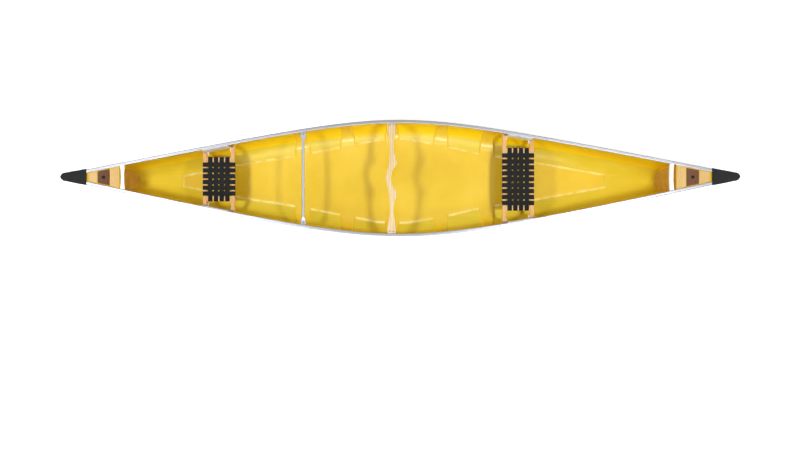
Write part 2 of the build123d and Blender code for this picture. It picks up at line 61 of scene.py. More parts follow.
# ---- Sizes of the hull's form, as in the CAD model ---------------------------
TIP = cad_high.x
STEM_REACH, STEM_HEIGHT, STEM_RAKE, STEM_HOLLOW = TIP - 0.0115, 0.470, 0.134, 0.428
FOREFOOT_LENGTH, FOREFOOT_HEIGHT, ROCKER = 0.235, 0.169, 0.026
WAIST, WAIST_HEIGHT, TUMBLEHOME = 0.446, 0.190, 0.010
TUMBLEHOME_TOP = 0.02                  # tumblehome is complete this far above the middle's edge
BILGE, SOFTNESS, EXPONENT, BLUNTNESS, ENTRY = 3.6, 0.25, 1.18, 0.02, 1.3
CENTRE_DEPTH, BOW_HEIGHT, STERN_HEIGHT, MOULD_HEIGHT = 0.330, 0.500, 0.480, 0.600
BOW_RISE, STERN_RISE = (0.7, 1.72), (0.9, 1.75)    # where the sheer starts to rise, and its power
SKIN, FOAM = 0.0025, 0.008
RIB_PLACES = (-0.785, -0.420, -0.060, 0.335, 0.710)
RIB_WIDTH, RIB_FLARE, RIB_FLARE_HEIGHT = 0.098, 0.024, 0.095
CORE_OUTLINE = (
    (-1.769, 0.050), (-1.222, 0.157), (-0.815, 0.220), (-0.400, 0.300), (-0.170, 0.345),
    (0.060, 0.350), (0.383, 0.295), (0.652, 0.230), (1.100, 0.162), (1.679, 0.058),
)
INNER_FLANGE, GUNWALE_OUT, GUNWALE_CROWN = 0.010, 0.012, 0.003
CAP_STARTS = {1: TIP - 0.1935, -1: TIP - 0.1795}   # by end: 1 is the bow, -1 the stern
CAP_WALL, CAP_TOP, CAP_SKIRT, CAP_SETBACK = 0.0025, 0.007, 0.029, 0.037
CAP_RIM, CAP_RIM_LENGTH = 0.0016, 0.009
STRAP_WIDTH, STRAP_THICKNESS, CROSS_PITCH = 0.035, 0.002, 0.0446
BAR_WIDTH, RAIL_WIDTH, BAR_ROUND = 0.030, 0.038, 0.004

# ---- Sizes of the drawn pieces only --------------------------------------------
SKIN_ROWS, SKIN_COLUMNS = 46, 141      # grid of the drawn skin, on each side
SHEER_CROWDING = 1.25                  # how much closer the rows are near the sheer
HALVINGS = 40                          # steps of the searches for a share of the section
CORE_RAMP, RIB_RAMP = 0.014, 0.010     # width of the sloping edges of core and ribs
LINER_SUNK = 0.0003                    # the laminate's feathered edge ends this far in the skin
LINER_STEP = 0.02                      # spacing of its columns along the boat
FLAT_ROWS, RAMP_ROWS, SIDE_ROWS = 14, 5, 34
SIDE_CROWDING = 1.15                   # how much closer its rows are near the floor
CAP_NOSE, CAP_NOSE_HALF, CAP_BULGE = 0.034, 0.032, 0.002
CAP_CROWN, CAP_SHOULDER, CAP_EASING = 0.0012, 0.009, 0.0012
STRAP_TAIL = 0.020                     # strap's end under a member, from the member's far side
WEAVE_GAP = 0.00006                    # between two crossing straps
WEAVE_STEEPNESS = 2.2                  # how quickly a strap changes from over to under
WEAVE_BLEND = 0.008                    # length in which it comes down onto the member

# ---- Places and sizes in the materials -----------------------------------------
CLOTH_PITCH = 0.0045
WAVES = 3.2                            # periods in a metre of a wave texture of scale 1
SHADE_LINE_PORT, SHADE_LINE_STARBOARD = 0.064, 0.105     # how high the duller painted shade comes up each side, under the vivid yellow painted as light shining through
BOW_TANK, STERN_TANK, TANK_TOP = (2.060, 2.130), (-2.161, -2.101), (0.044, 0.056)

# ---- Light and camera ------------------------------------------------------------
WORLD_NEAR, WORLD_FAR = 0.24, 0.18     # world's strength from -Y and from +Y
WORLD_MIRRORED = 0.78                  # and as metal and gloss see it
FLOOR_REACH, FLOOR_GREY = 30.0, 0.25   # grey is the floor's colour as the object's light sees it
SOFTBOX_LEFT, SOFTBOX_RIGHT = (-2.30, -0.4, 3.4), (1.85, -0.5, 3.4)
CAMERA_PLACE, CAMERA_LENS, CAMERA_SENSOR = (0.0035, -0.362, 5.03), 27.6, 36.0


# ---- The hull's form ---------------------------------------------------------
def stem_line(height, inset):
    """Distance from the middle of the boat to the stem at a height above the keel."""
    drop = STEM_HEIGHT - height
    reach = STEM_REACH - STEM_RAKE * drop - STEM_HOLLOW * drop**2
    above = np.maximum(height - inset, 0.0)
    root = np.sqrt(np.minimum(above / FOREFOOT_HEIGHT, 1.0))
    reach = reach - FOREFOOT_LENGTH * (1 - root) ** 2
    return reach - inset / math.sin(math.atan((WAIST - TUMBLEHOME) * ENTRY / STEM_REACH))


def plan_taper(s):
    """Half breadth at a share of the way to the stem, against the middle's."""
    s = np.minimum(np.abs(s), 1.0)
    soft = SOFTNESS**EXPONENT
    span = (1 + SOFTNESS**2) ** (EXPONENT / 2) - soft
    left = np.maximum(1 - ((s * s + SOFTNESS**2) ** (EXPONENT / 2) - soft) / span, 0.0)
    return np.sqrt(left**2 + 2 * left * BLUNTNESS) / math.sqrt(1 + 2 * BLUNTNESS)


def half_beam(height, inset):
    """Half breadth of the middle section at a height."""
    low = np.clip((WAIST_HEIGHT - height) / (WAIST_HEIGHT - inset), 0.0, 1.0)
    below = (WAIST - inset) * (1 - low**2) ** (1 / BILGE)
    up = np.clip((height - WAIST_HEIGHT) / (CENTRE_DEPTH + TUMBLEHOME_TOP - WAIST_HEIGHT), 0.0, 1.0)
    above = WAIST - inset - TUMBLEHOME * (1 - np.cos(math.pi * up)) / 2
    return np.where(height < WAIST_HEIGHT, below, above)


def section_point(share, inset):
    """Point of the middle section: share 0 at the keel, 1 at the waist, 2 at the mould's top."""
    sine = np.sin(np.minimum(share, 1.0) * math.pi / 2)
    low = WAIST_HEIGHT - (WAIST_HEIGHT - inset) * np.sqrt(np.maximum(1 - sine**BILGE, 0.0))
    high = WAIST_HEIGHT + (MOULD_HEIGHT - WAIST_HEIGHT) * (share - 1)
    breadth = np.where(share <= 1, (WAIST - inset) * sine, half_beam(high, inset))
    return breadth, np.where(share <= 1, low, high)


def hull_point(x, share, inset):
    """Half breadth and height of the form at a place along the boat and a share of the section."""
    breadth, height = section_point(share, inset)
    s = x / stem_line(height, inset)
    z = height + ROCKER * np.abs(s) ** 3 * (1 - height / MOULD_HEIGHT)
    return breadth * plan_taper(s), z


def half_breadth(x, z, inset=0.0):
    """Half breadth of the form at a place along the boat and a level."""
    height = np.asarray(z, float)
    s = 0.0
    for _ in range(30):
        s = np.minimum(np.abs(x) / stem_line(height, inset), 1.0)
        height = (z - ROCKER * s**3) / (1 - ROCKER * s**3 / MOULD_HEIGHT)
    return half_beam(height, inset) * plan_taper(s)


def sheer(x):
    """Level of the skin's top edge."""
    x = np.asarray(x, float)
    bow = np.maximum(x - BOW_RISE[0], 0.0) / (STEM_REACH - BOW_RISE[0])
    stern = np.maximum(-x - STERN_RISE[0], 0.0) / (STEM_REACH - STERN_RISE[0])
    return (CENTRE_DEPTH + (BOW_HEIGHT - CENTRE_DEPTH) * bow ** BOW_RISE[1]
            + (STERN_HEIGHT - CENTRE_DEPTH) * stern ** STERN_RISE[1])


# ---- Node helpers --------------------------------------------------------------
def hexed(code):
    """Linear colour of a hex code."""
    parts = [int(code[i:i + 2], 16) / 255 for i in (0, 2, 4)]
    linear = [c / 12.92 if c <= 0.04045 else ((c + 0.055) / 1.055) ** 2.4 for c in parts]
    return (*linear, 1.0)


class Shader:
    """A material with one Principled shader, and short calls for the nodes that feed it."""

    def __init__(self, name, **values):
        self.material = bpy.data.materials.new(name)
        self.material.use_nodes = True
        self.tree = self.material.node_tree
        self.bsdf = self.tree.nodes["Principled BSDF"]
        for key, value in values.items():
            self.bsdf.inputs[key.replace("_", " ")].default_value = value
        self.where = self.add("ShaderNodeTexCoord").outputs["Object"]

    def add(self, kind, **settings):
        node = self.tree.nodes.new(kind)
        for key, value in settings.items():
            setattr(node, key, value)
        return node

    def feed(self, socket, value):
        if isinstance(value, bpy.types.NodeSocket):
            self.tree.links.new(value, socket)
        else:
            socket.default_value = value

    def math(self, operation, a, b=0.0, c=0.0):
        node = self.add("ShaderNodeMath", operation=operation)
        for socket, value in zip(node.inputs, (a, b, c)):
            self.feed(socket, value)
        return node.outputs[0]

    def place(self, scale):
        node = self.add("ShaderNodeMapping")
        self.feed(node.inputs["Vector"], self.where)
        node.inputs["Scale"].default_value = scale
        return node.outputs[0]

    def axes(self):
        node = self.add("ShaderNodeSeparateXYZ")
        self.feed(node.inputs[0], self.where)
        return node.outputs

    def noise(self, scale, detail, vector=None):
        node = self.add("ShaderNodeTexNoise")
        self.feed(node.inputs["Vector"], vector or self.where)
        node.inputs["Scale"].default_value = scale
        node.inputs["Detail"].default_value = detail
        return node.outputs["Fac"]

    def wave(self, scale, axis, vector=None, distortion=0.0, detail=2.0):
        node = self.add("ShaderNodeTexWave", bands_direction=axis)
        self.feed(node.inputs["Vector"], vector or self.where)
        node.inputs["Scale"].default_value = scale
        node.inputs["Distortion"].default_value = distortion
        node.inputs["Detail"].default_value = detail
        return node.outputs["Fac"]

    def ramp(self, value, *stops):
        node = self.add("ShaderNodeValToRGB")
        self.feed(node.inputs[0], value)
        elements = node.color_ramp.elements
        while len(elements) < len(stops):
            elements.new(0.5)
        for element, (at, colour) in zip(elements, stops):
            element.position = at
            grey = isinstance(colour, float)
            element.color = (colour, colour, colour, 1) if grey else hexed(colour)
        return node.outputs["Color"]

    def mix(self, share, a, b):
        node = self.add("ShaderNodeMix", data_type="RGBA")
        self.feed(node.inputs[0], share)
        self.feed(node.inputs[6], hexed(a) if isinstance(a, str) else a)
        self.feed(node.inputs[7], hexed(b) if isinstance(b, str) else b)
        return node.outputs[2]

    def range(self, value, low, high, to_low=0.0, to_high=1.0):
        """Smooth step from one value to another while the input goes from low to high."""
        node = self.add("ShaderNodeMapRange", interpolation_type="SMOOTHSTEP")
        self.feed(node.inputs["Value"], value)
        for key, what in (("From Min", low), ("From Max", high), ("To Min", to_low), ("To Max", to_high)):
            self.feed(node.inputs[key], what)
        return node.outputs[0]

    def colour(self, value):
        self.feed(self.bsdf.inputs["Base Color"], value)

    def rough(self, value, low, high):
        self.feed(self.bsdf.inputs["Roughness"], self.range(value, 0.0, 1.0, low, high))

    def bump(self, *layers):
        """Each layer is (height, distance in metres, strength)."""
        normal = None
        for height, distance, strength in layers:
            node = self.add("ShaderNodeBump")
            node.inputs["Strength"].default_value = strength
            node.inputs["Distance"].default_value = distance
            self.feed(node.inputs["Height"], height)
            if normal is not None:
                self.feed(node.inputs["Normal"], normal)
            normal = node.outputs[0]
        self.feed(self.bsdf.inputs["Normal"], normal)


# ---- Materials -----------------------------------------------------------------
def cloth(shader):
    """Height of the laminate's plain-woven cloth."""
    along = shader.wave(1 / CLOTH_PITCH / WAVES, "X", distortion=0.3)
    up = shader.wave(1 / CLOTH_PITCH / WAVES, "Z", distortion=0.3)
    return shader.math("MULTIPLY", along, up)


def depth_under_edge(shader):
    """Distance below the skin's top edge, as sheer() gives that."""
    x, _, z = shader.axes()
    edge = CENTRE_DEPTH
    back = shader.math("MULTIPLY", x, -1.0)
    for along, (start, power), height in ((x, BOW_RISE, BOW_HEIGHT), (back, STERN_RISE, STERN_HEIGHT)):
        past = shader.math("MAXIMUM", shader.math("SUBTRACT", along, start), 0.0)
        rise = shader.math("POWER", shader.math("DIVIDE", past, STEM_REACH - start), power)
        edge = shader.math("MULTIPLY_ADD", rise, height - CENTRE_DEPTH, edge)
    return shader.math("SUBTRACT", edge, z)


def skin_outside():
    """Clear-coated cloth, with the ribs and tanks showing through as bands and darker ends."""
    s = Shader("laminate_outside", Roughness=0.22, Coat_Weight=0.6, Coat_Roughness=0.06, IOR=1.5)
    x, _, z = s.axes()
    cloudy = s.noise(2.2, 4.0, s.place((1, 1, 3)))
    base = s.ramp(cloudy, (0.30, "E0B608"), (0.55, "EBC50C"), (0.78, "F0CE1C"))
    streaks = s.noise(60.0, 2.0, s.place((1, 1, 0.06)))
    base = s.mix(s.range(streaks, 0.45, 0.75, 0.0, 0.35), base, "CFAE20")
    rows = s.noise(70.0, 2.0, s.place((0.03, 1, 1)))
    base = s.mix(s.range(rows, 0.5, 0.8, 0.0, 0.35), base, "F0DA55")
    for place in RIB_PLACES:
        off = s.math("ABSOLUTE", s.math("SUBTRACT", x, place))
        band = s.range(off, RIB_WIDTH / 2 - 0.004, RIB_WIDTH / 2 + 0.012, 0.55, 0.0)
        base = s.mix(band, base, "C39F2C")
    low = s.range(z, 0.012, 0.075, 1.0, 0.0)
    middle = s.range(s.math("ABSOLUTE", x), 0.9, 1.9, 1.0, 0.0)
    base = s.mix(s.math("MULTIPLY", s.math("MULTIPLY", low, middle), 0.55), base, "C88F1A")
    under = s.range(depth_under_edge(s), *TANK_TOP)
    bow_tank = s.math("MULTIPLY", s.range(x, *BOW_TANK), under)
    stern_tank = s.math("MULTIPLY", s.range(x, *STERN_TANK, 1.0, 0.0), under)
    base = s.mix(s.math("MULTIPLY", bow_tank, 0.62), base, "A88C1A")
    base = s.mix(s.math("MULTIPLY", stern_tank, 0.55), base, "B4981E")
    s.colour(base)
    s.bump((cloth(s), 0.00012, 0.5), (s.noise(9.0, 2.0), 0.002, 0.25))
    return s.material


def skin_inside():
    """Bare cloth inside: vivid yellow painted above a line as light shining through, duller and greener
    below it as painted shade, and a painted shadow under the gunwale.
    """
    s = Shader("laminate_inside", Roughness=0.36, Coat_Weight=0.12, Coat_Roughness=0.2, IOR=1.42)
    x, y, z = s.axes()
    cloudy = s.noise(3.0, 4.0, s.place((0.6, 1, 2)))
    base = s.ramp(cloudy, (0.28, "EEC400"), (0.52, "F6CE02"), (0.78, "FAD60C"))
    # Painted shade: a duller, greener copy of the cloth for below the line, which is set higher on
    # starboard.
    shaded_low = s.ramp(cloudy, (0.28, "D2B82C"), (0.52, "DCC434"), (0.78, "E6CE44"))
    rise = s.math("POWER", s.math("DIVIDE", s.math("ABSOLUTE", x), STEM_REACH), 2.0)
    middle = s.range(y, -0.01, 0.01, SHADE_LINE_STARBOARD, SHADE_LINE_PORT)
    line = s.math("MULTIPLY_ADD", rise, 0.10, middle)
    base = s.mix(s.range(s.math("SUBTRACT", z, line), -0.003, 0.003, 1.0, 0.0), base, shaded_low)
    rows = s.noise(80.0, 2.0, s.place((0.03, 1, 1)))
    base = s.mix(s.range(rows, 0.5, 0.85, 0.0, 0.3), base, "F4DC4A")
    # Painted shadow of the gunwale: darker orange just under the skin's top edge.
    edge = s.range(depth_under_edge(s), 0.0, 0.030, 1.0, 0.0)
    base = s.mix(s.math("MULTIPLY", edge, 0.7), base, "D89202")
    s.colour(base)
    s.bump((cloth(s), 0.00018, 0.6), (s.noise(14.0, 3.0), 0.003, 0.3))
    return s.material


def lined_foam():
    """Cloth over the foam core and ribs, deeper yellow up the sides."""
    s = Shader("laminate_over_foam", Roughness=0.5, Coat_Weight=0.9, Coat_Roughness=0.10, IOR=1.4)
    _, _, z = s.axes()
    cloudy = s.noise(2.4, 4.0)
    base = s.ramp(cloudy, (0.28, "DEBA22"), (0.52, "E8C62C"), (0.78, "F0D040"))
    speck = s.noise(260.0, 2.0)
    base = s.mix(s.range(speck, 0.5, 0.8, 0.0, 0.22), base, "DAAA1E")
    up = s.range(z, 0.06, 0.20)
    base = s.mix(s.math("MULTIPLY", up, 0.7), base, "E6B414")
    s.colour(base)
    s.bump((cloth(s), 0.00018, 0.6), (s.noise(30.0, 3.0), 0.0015, 0.3))
    return s.material


def painted_edge_highlight():
    """Edge of the foam, glossier than the cloth beside it, with a pale line painted on it as a highlight.
    """
    s = Shader("laminate_edge_painted_highlight", Roughness=0.25, Coat_Weight=1.0, Coat_Roughness=0.08, IOR=1.5)
    s.colour(s.ramp(s.noise(18.0, 3.0), (0.35, "E8CE50"), (0.6, "F4E28A"), (0.8, "F8ECB4")))
    s.bump((cloth(s), 0.00015, 0.4))
    return s.material


def tank_wall():
    s = Shader("tank_wall_foam", Roughness=0.55, IOR=1.45)
    cloudy = s.noise(22.0, 5.0)
    base = s.ramp(cloudy, (0.3, "C09640"), (0.55, "CFA248"), (0.8, "DCB258"))
    s.colour(base)
    s.bump((s.noise(420.0, 2.0), 0.0004, 0.5), (s.noise(30.0, 3.0), 0.002, 0.3))
    return s.material


def metal(name, colour, rough, grain_scale=(1, 1, 1), metallic=1.0):
    """Brushed or plain metal; its grain runs where grain_scale is small."""
    s = Shader(name, Metallic=metallic, IOR=1.5)
    brushed = s.noise(900.0, 2.0, s.place(grain_scale))
    s.colour(s.mix(s.range(brushed, 0.3, 0.7, 0.0, 0.18), colour, "9CA0AC"))
    smudge = s.noise(25.0, 4.0)
    worn = s.math("ADD", s.math("MULTIPLY", brushed, 0.6), s.math("MULTIPLY", smudge, 0.4))
    s.rough(worn, rough - 0.08, rough + 0.10)
    s.bump((brushed, 0.00005, 0.3))
    return s.material


def wood(name, light, middle, dark, axis, rings=26.0, rough=0.42, coat=0.25):
    """Planed wood whose grain runs along an axis."""
    s = Shader(name, Coat_Weight=coat, Coat_Roughness=0.15, IOR=1.4)
    stretch = {"X": (0.10, 1.0, 1.0), "Y": (1.0, 0.10, 1.0)}[axis]
    fine = {"X": (0.02, 1.0, 1.0), "Y": (1.0, 0.02, 1.0)}[axis]
    across = {"X": "Y", "Y": "X"}[axis]
    flame = s.wave(rings, across, s.place(stretch), distortion=7.0, detail=3.0)
    pores = s.noise(900.0, 2.0, s.place(fine))
    tone = s.noise(9.0, 2.0, s.place(stretch))
    base = s.ramp(flame, (0.0, light), (0.55, middle), (1.0, dark))
    base = s.mix(s.range(tone, 0.35, 0.7, 0.0, 0.5), base, light)
    base = s.mix(s.range(pores, 0.52, 0.75, 0.0, 0.45), base, dark)
    s.colour(base)
    s.rough(pores, rough - 0.06, rough + 0.12)
    s.bump((pores, 0.0002, 0.35), (flame, 0.0002, 0.2))
    return s.material


def webbing(name, axis):
    """Woven strap that runs along an axis: ribs along it, fine picks across."""
    s = Shader(name, Roughness=0.82, Sheen_Weight=0.12, Sheen_Roughness=0.5, IOR=1.4)
    across = {"X": "Y", "Y": "X"}[axis]
    ribs = s.wave(1 / 0.0042 / WAVES, across, distortion=0.15)
    picks = s.wave(1 / 0.0019 / WAVES, axis, distortion=0.4)
    weave = s.math("MULTIPLY", ribs, s.math("MULTIPLY_ADD", picks, 0.5, 0.5))
    fuzz = s.noise(700.0, 2.0)
    base = s.ramp(weave, (0.0, "0E0F10"), (0.6, "18191A"), (1.0, "242527"))
    base = s.mix(s.range(fuzz, 0.5, 0.8, 0.0, 0.25), base, "2C2D2F")
    s.colour(base)
    s.bump((weave, 0.0005, 0.7), (fuzz, 0.0002, 0.3))
    return s.material


def moulded(name, colour, lighter, rough):
    """Plastic or rubber with a fine pebbled skin."""
    s = Shader(name, IOR=1.46)
    pebble = s.noise(650.0, 2.0)
    broad = s.noise(12.0, 3.0)
    s.colour(s.mix(s.range(broad, 0.3, 0.8, 0.0, 0.6), colour, lighter))
    s.rough(pebble, rough - 0.08, rough + 0.1)
    s.bump((pebble, 0.0003, 0.45))
    return s.material


LAMINATE_OUT, LAMINATE_IN = skin_outside(), skin_inside()
# The second material here is the pale line painted along the core's edges as a highlight.
LINED, LINED_HIGHLIGHT = lined_foam(), painted_edge_highlight()
TANK = tank_wall()
RAIL = metal("satin_aluminium_along", "B2B5BE", 0.36, (0.02, 1, 1))
TUBE = metal("satin_aluminium_across", "DEE6FC", 0.36, (1, 0.02, 1))
HANDLE = metal("handle_aluminium", "E4E2D8", 0.42, (1, 0.02, 1))
STEEL = metal("fastener_steel", "B8B8BC", 0.30)
BRACKET = metal("bracket_aluminium", "E2E4EA", 0.24, (0.02, 1, 1))
HANGER = metal("blasted_aluminium", "F2F4F6", 0.50, metallic=0.15)
BLACK = moulded("black_moulded_plastic", "121314", "191A1B", 0.6)
RUBBER = moulded("grommet_rubber", "101214", "191B1E", 0.62)
LIGHT_WOOD = wood("deck_light_wood", "E8C888", "DEB878", "BE9252", "Y", 55.0, coat=0.08)
DARK_WOOD = wood("deck_dark_wood", "7C563E", "66442F", "3C241A", "Y", 60.0, rough=0.55, coat=0.0)
BAR_WOOD = wood("seat_bar_wood", "EAC08A", "DDAC6E", "BE864E", "Y", 70.0, coat=0.08)
RAIL_WOOD = wood("seat_rail_wood", "ECC492", "E0B076", "C08A54", "X", 70.0, coat=0.08)
YOKE_WOOD = wood("yoke_ash", "F0E0BE", "E9D2A0", "CE9C4C", "Y", 24.0, coat=0.05)
ALONG, ACROSS = webbing("webbing_lengthwise", "X"), webbing("webbing_crosswise", "Y")


# ---- Pieces --------------------------------------------------------------------
def smooth_by_angle(mesh, degrees):
    """Smooth shading, with edges sharp where faces meet at more than an angle."""
    mesh.polygons.foreach_set("use_smooth", [True] * len(mesh.polygons))
    mesh.set_sharp_from_angle(angle=math.radians(degrees))


def paint(node, material):
    """Gives a CAD node that keeps its shape its material."""
    item = nodes[node]
    item.data.materials.clear()
    item.data.materials.append(material)


def piece(name, points, faces, material, slot, *replaced, degrees):
    """New piece that stands for CAD nodes, with its normals made to agree."""
    mesh = bpy.data.meshes.new(name)
    mesh.from_pydata([tuple(p) for p in points], [], faces)
    mesh.materials.append(material)
    mesh.update()
    item = bpy.data.objects.new(name, mesh)
    bpy.context.scene.collection.objects.link(item)
    shaping = bmesh.new()
    shaping.from_mesh(mesh)
    bmesh.ops.recalc_face_normals(shaping, faces=shaping.faces)
    shaping.to_mesh(mesh)
    shaping.free()
    smooth_by_angle(mesh, degrees)
    finish_piece(item, replaced)
    return item


def finish_piece(item, replaced):
    """Puts a piece on the one body and hides the CAD nodes that it stands for."""
    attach(item, "root")
    if replaced:
        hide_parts(*replaced)


def softened(node, material, width):
    """Copy of a CAD node with its sharp edges rounded, which stands for it."""
    source = nodes[node]
    mesh = source.data.copy()
    mesh.name = node + "_rounded"
    mesh.materials.clear()
    mesh.materials.append(material)
    shaping = bmesh.new()
    shaping.from_mesh(mesh)
    bmesh.ops.remove_doubles(shaping, verts=shaping.verts, dist=2e-5)
    bmesh.ops.dissolve_limit(
        shaping, angle_limit=math.radians(1.5), verts=shaping.verts, edges=shaping.edges)
    shaping.to_mesh(mesh)
    shaping.free()
    item = bpy.data.objects.new(node + "_rounded", mesh)
    bpy.context.scene.collection.objects.link(item)
    bevel = item.modifiers.new("edges", "BEVEL")
    bevel.width = width
    bevel.segments = 3
    bevel.limit_method = "ANGLE"
    bevel.angle_limit = math.radians(38)
    smooth_by_angle(mesh, 40.0)
    finish_piece(item, (node,))


# Skin: one shell drawn from the hull's form, whose two faces and cut edge meet at the sheer.
def skin_face(s_values, inset):
    """Port side of the form up to the sheer: rows from the keel up, columns from stern to bow."""
    s = np.broadcast_to(s_values, (SKIN_ROWS, s_values.size))

    def at(share):
        breadth, height = section_point(share, inset)
        x = s * stem_line(height, inset)
        z = height + ROCKER * np.abs(s) ** 3 * (1 - height / MOULD_HEIGHT)
        return x, breadth * plan_taper(s), z

    low, high = np.ones_like(s), np.full_like(s, 2.0)
    for _ in range(HALVINGS):
        middle = (low + high) / 2
        x, _, z = at(middle)
        under = z < sheer(x)
        low, high = np.where(under, middle, low), np.where(under, high, middle)
    rise = np.linspace(0.0, 1.0, SKIN_ROWS)[:, None]
    x, y, z = at(low * (1 - (1 - rise) ** SHEER_CROWDING))
    y[0], y[:, 0], y[:, -1] = 0.0, 0.0, 0.0
    return x, y, z


def hull_shell():
    """Both sides, outside and inside, closed along the sheer; LAMINATE_IN is its second material."""
    s_values = np.sin(np.linspace(-math.pi / 2, math.pi / 2, SKIN_COLUMNS))
    points, faces, finishes, index = [], [], [], {}

    def vertex(side, layer, row, column):
        """Index of a point; layer 0 is outside and 1 inside, and the keel and stems are shared."""
        x, y, z = layers[layer]
        closed = row == 0 or column in (0, SKIN_COLUMNS - 1)
        key = (0 if closed else side, layer, row, column)
        if key not in index:
            index[key] = len(points)
            points.append((x[row, column], side * y[row, column], z[row, column]))
        return index[key]

    layers = [skin_face(s_values, 0.0), skin_face(s_values, SKIN)]
    for side in (1, -1):
        for layer in (0, 1):
            for r in range(SKIN_ROWS - 1):
                for c in range(SKIN_COLUMNS - 1):
                    corners = ((r, c), (r, c + 1), (r + 1, c + 1), (r + 1, c))
                    ring = [vertex(side, layer, a, b) for a, b in corners]
                    faces.append(list(dict.fromkeys(ring)))
                    finishes.append(layer)
        r = SKIN_ROWS - 1
        for c in range(SKIN_COLUMNS - 1):
            corners = ((0, c), (0, c + 1), (1, c + 1), (1, c))
            faces.append([vertex(side, layer, r, b) for layer, b in corners])
            finishes.append(1)
    shell = piece("hull_shell", points, faces, LAMINATE_OUT, "aramid_skin",
                  "hull_skin_port", "hull_skin_starboard", degrees=60.0)
    shell.data.materials.append(LAMINATE_IN)
    shell.data.polygons.foreach_set("material_index", finishes)


hull_shell()


# Floor core and ribs: one laminate surface over the foam, with ramped edges.
def core_half_width(x):
    """Half width of the floor core in plan."""
    xs, ys = zip(*CORE_OUTLINE)
    return np.interp(x, xs, ys)


def share_where(x, which, target, most):
    """Share of the section at which hull_point's half breadth (0) or height (1) meets a target."""
    low, high = np.zeros_like(x), np.full_like(x, most)
    for _ in range(HALVINGS):
        middle = (low + high) / 2
        short = hull_point(x, middle, SKIN)[which] < target
        low, high = np.where(short, middle, low), np.where(short, high, middle)
    return (low + high) / 2


def liner_stations():
    """Places of the liner's columns, closer together at the ramps."""
    start, stop = CORE_OUTLINE[0][0], CORE_OUTLINE[-1][0]
    stations = set(np.round(np.arange(start, stop, LINER_STEP), 4))
    for place in RIB_PLACES:
        for side in (-1, 1):
            edge = place + side * RIB_WIDTH / 2
            stations |= set(np.round(edge + side * np.arange(-0.018, 0.036, 0.003), 4))
    for end, way in ((start, 1), (stop, -1)):
        stations |= {round(end + way * CORE_RAMP * i / RAMP_ROWS, 4) for i in range(RAMP_ROWS + 1)}
    return np.array(sorted(v for v in stations if start <= v <= stop))


def liner_shares(xs):
    """Shares of the section of the liner's rows: flat floor, ramped edge, then up the side."""
    edge = share_where(xs, 0, core_half_width(xs), 1.0)
    inner = share_where(xs, 0, np.maximum(core_half_width(xs) - CORE_RAMP, 0.002), 1.0)
    top = share_where(xs, 1, sheer(xs) - INNER_FLANGE, 2.0)
    rows = [inner * i / FLAT_ROWS for i in range(FLAT_ROWS)]
    rows += [inner + (edge - inner) * i / RAMP_ROWS for i in range(RAMP_ROWS + 1)]
    rows += [edge + (top - edge) * (i / SIDE_ROWS) ** SIDE_CROWDING for i in range(1, SIDE_ROWS + 1)]
    return np.array(rows)


def liner():
    """Laminate from the floor's middle up the sides, raised over core and ribs, left out elsewhere."""
    start, stop = CORE_OUTLINE[0][0], CORE_OUTLINE[-1][0]
    xs = liner_stations()
    share = liner_shares(xs)
    x = np.broadcast_to(xs, share.shape)
    y, z = hull_point(x, share, SKIN)
    inside = np.minimum(core_half_width(x) - y, np.minimum(x - start, stop - x))
    mask = np.clip(inside / CORE_RAMP, 0.0, 1.0)
    ribs = np.zeros_like(mask)
    half = RIB_WIDTH / 2 + RIB_FLARE * np.clip(1 - z / RIB_FLARE_HEIGHT, 0.0, 1.0)
    for place in RIB_PLACES:
        ribs = np.maximum(ribs, np.clip((half - np.abs(x - place)) / RIB_RAMP, 0.0, 1.0))
    # Painted highlight: the core's sloping edge, away from the ribs, is given the pale line.
    painted_highlight = (mask > 0.05) & (mask < 0.98) & (ribs < 0.1)
    mask = np.maximum(mask, ribs)
    y, z = hull_point(x, share, SKIN - LINER_SUNK + (FOAM + LINER_SUNK) * mask)
    y_low, z_low = hull_point(x, share, np.full_like(x, SKIN - LINER_SUNK))
    count, width = share.shape
    points, faces, finishes, index = [], [], [], {}

    def vertex(row, column, side, layer):
        """Index of a point; layer 1 is the surface seen, layer 0 lies just inside the skin."""
        key = (row, column, side if row else 0, layer)
        if key not in index:
            index[key] = len(points)
            across, up = (y, z) if layer else (y_low, z_low)
            breadth = side * across[row, column] if row else 0.0
            points.append((x[row, column], breadth, up[row, column]))
        return index[key]

    for side in (1, -1):
        kept = np.zeros((count - 1, width - 1), bool)
        for r in range(count - 1):
            for c in range(width - 1):
                kept[r, c] = mask[r:r + 2, c:c + 2].max() > 0
        for r, c in zip(*np.nonzero(kept)):
            ring = [(r, c), (r, c + 1), (r + 1, c + 1), (r + 1, c)]
            for layer in (1, 0):
                corners = [vertex(a, b, side, layer) for a, b in ring]
                faces.append(corners[::side * (1 if layer else -1)])
                finishes.append(int(layer == 1 and painted_highlight[r:r + 2, c:c + 2].sum() > 1))
            around = (((r, c), (r + 1, c), c == 0 or not kept[r, c - 1]),
                      ((r, c + 1), (r + 1, c + 1), c == width - 2 or not kept[r, c + 1]),
                      ((r + 1, c), (r + 1, c + 1), r == count - 2 or not kept[r + 1, c]))
            for a, b, open_edge in around:
                if open_edge:
                    corners = ((a, 1), (b, 1), (b, 0), (a, 0))
                    faces.append([vertex(*corner, side, layer) for corner, layer in corners])
                    finishes.append(0)
    replaced = ["floor_core_port", "floor_core_starboard"]
    replaced += [f"rib_{i}_{side}" for i in range(1, 6) for side in ("port", "starboard")]
    item = piece("floor_liner", points, faces, LINED, "foam_core", *replaced, degrees=50.0)
    # Second material: the pale painted highlight on the core's edges.
    item.data.materials.append(LINED_HIGHLIGHT)
    item.data.polygons.foreach_set("material_index", finishes)


liner()
for end in ("bow", "stern"):
    paint(f"{end}_bulkhead", TANK)
    paint(f"{end}_tank_lid", LAMINATE_IN)
    paint(f"{end}_deck_plate", LINED)

# Gunwales and their rivets.
for side in ("port", "starboard"):
    paint(f"gunwale_{side}", RAIL)
    paint(f"gunwale_rivets_{side}", STEEL)


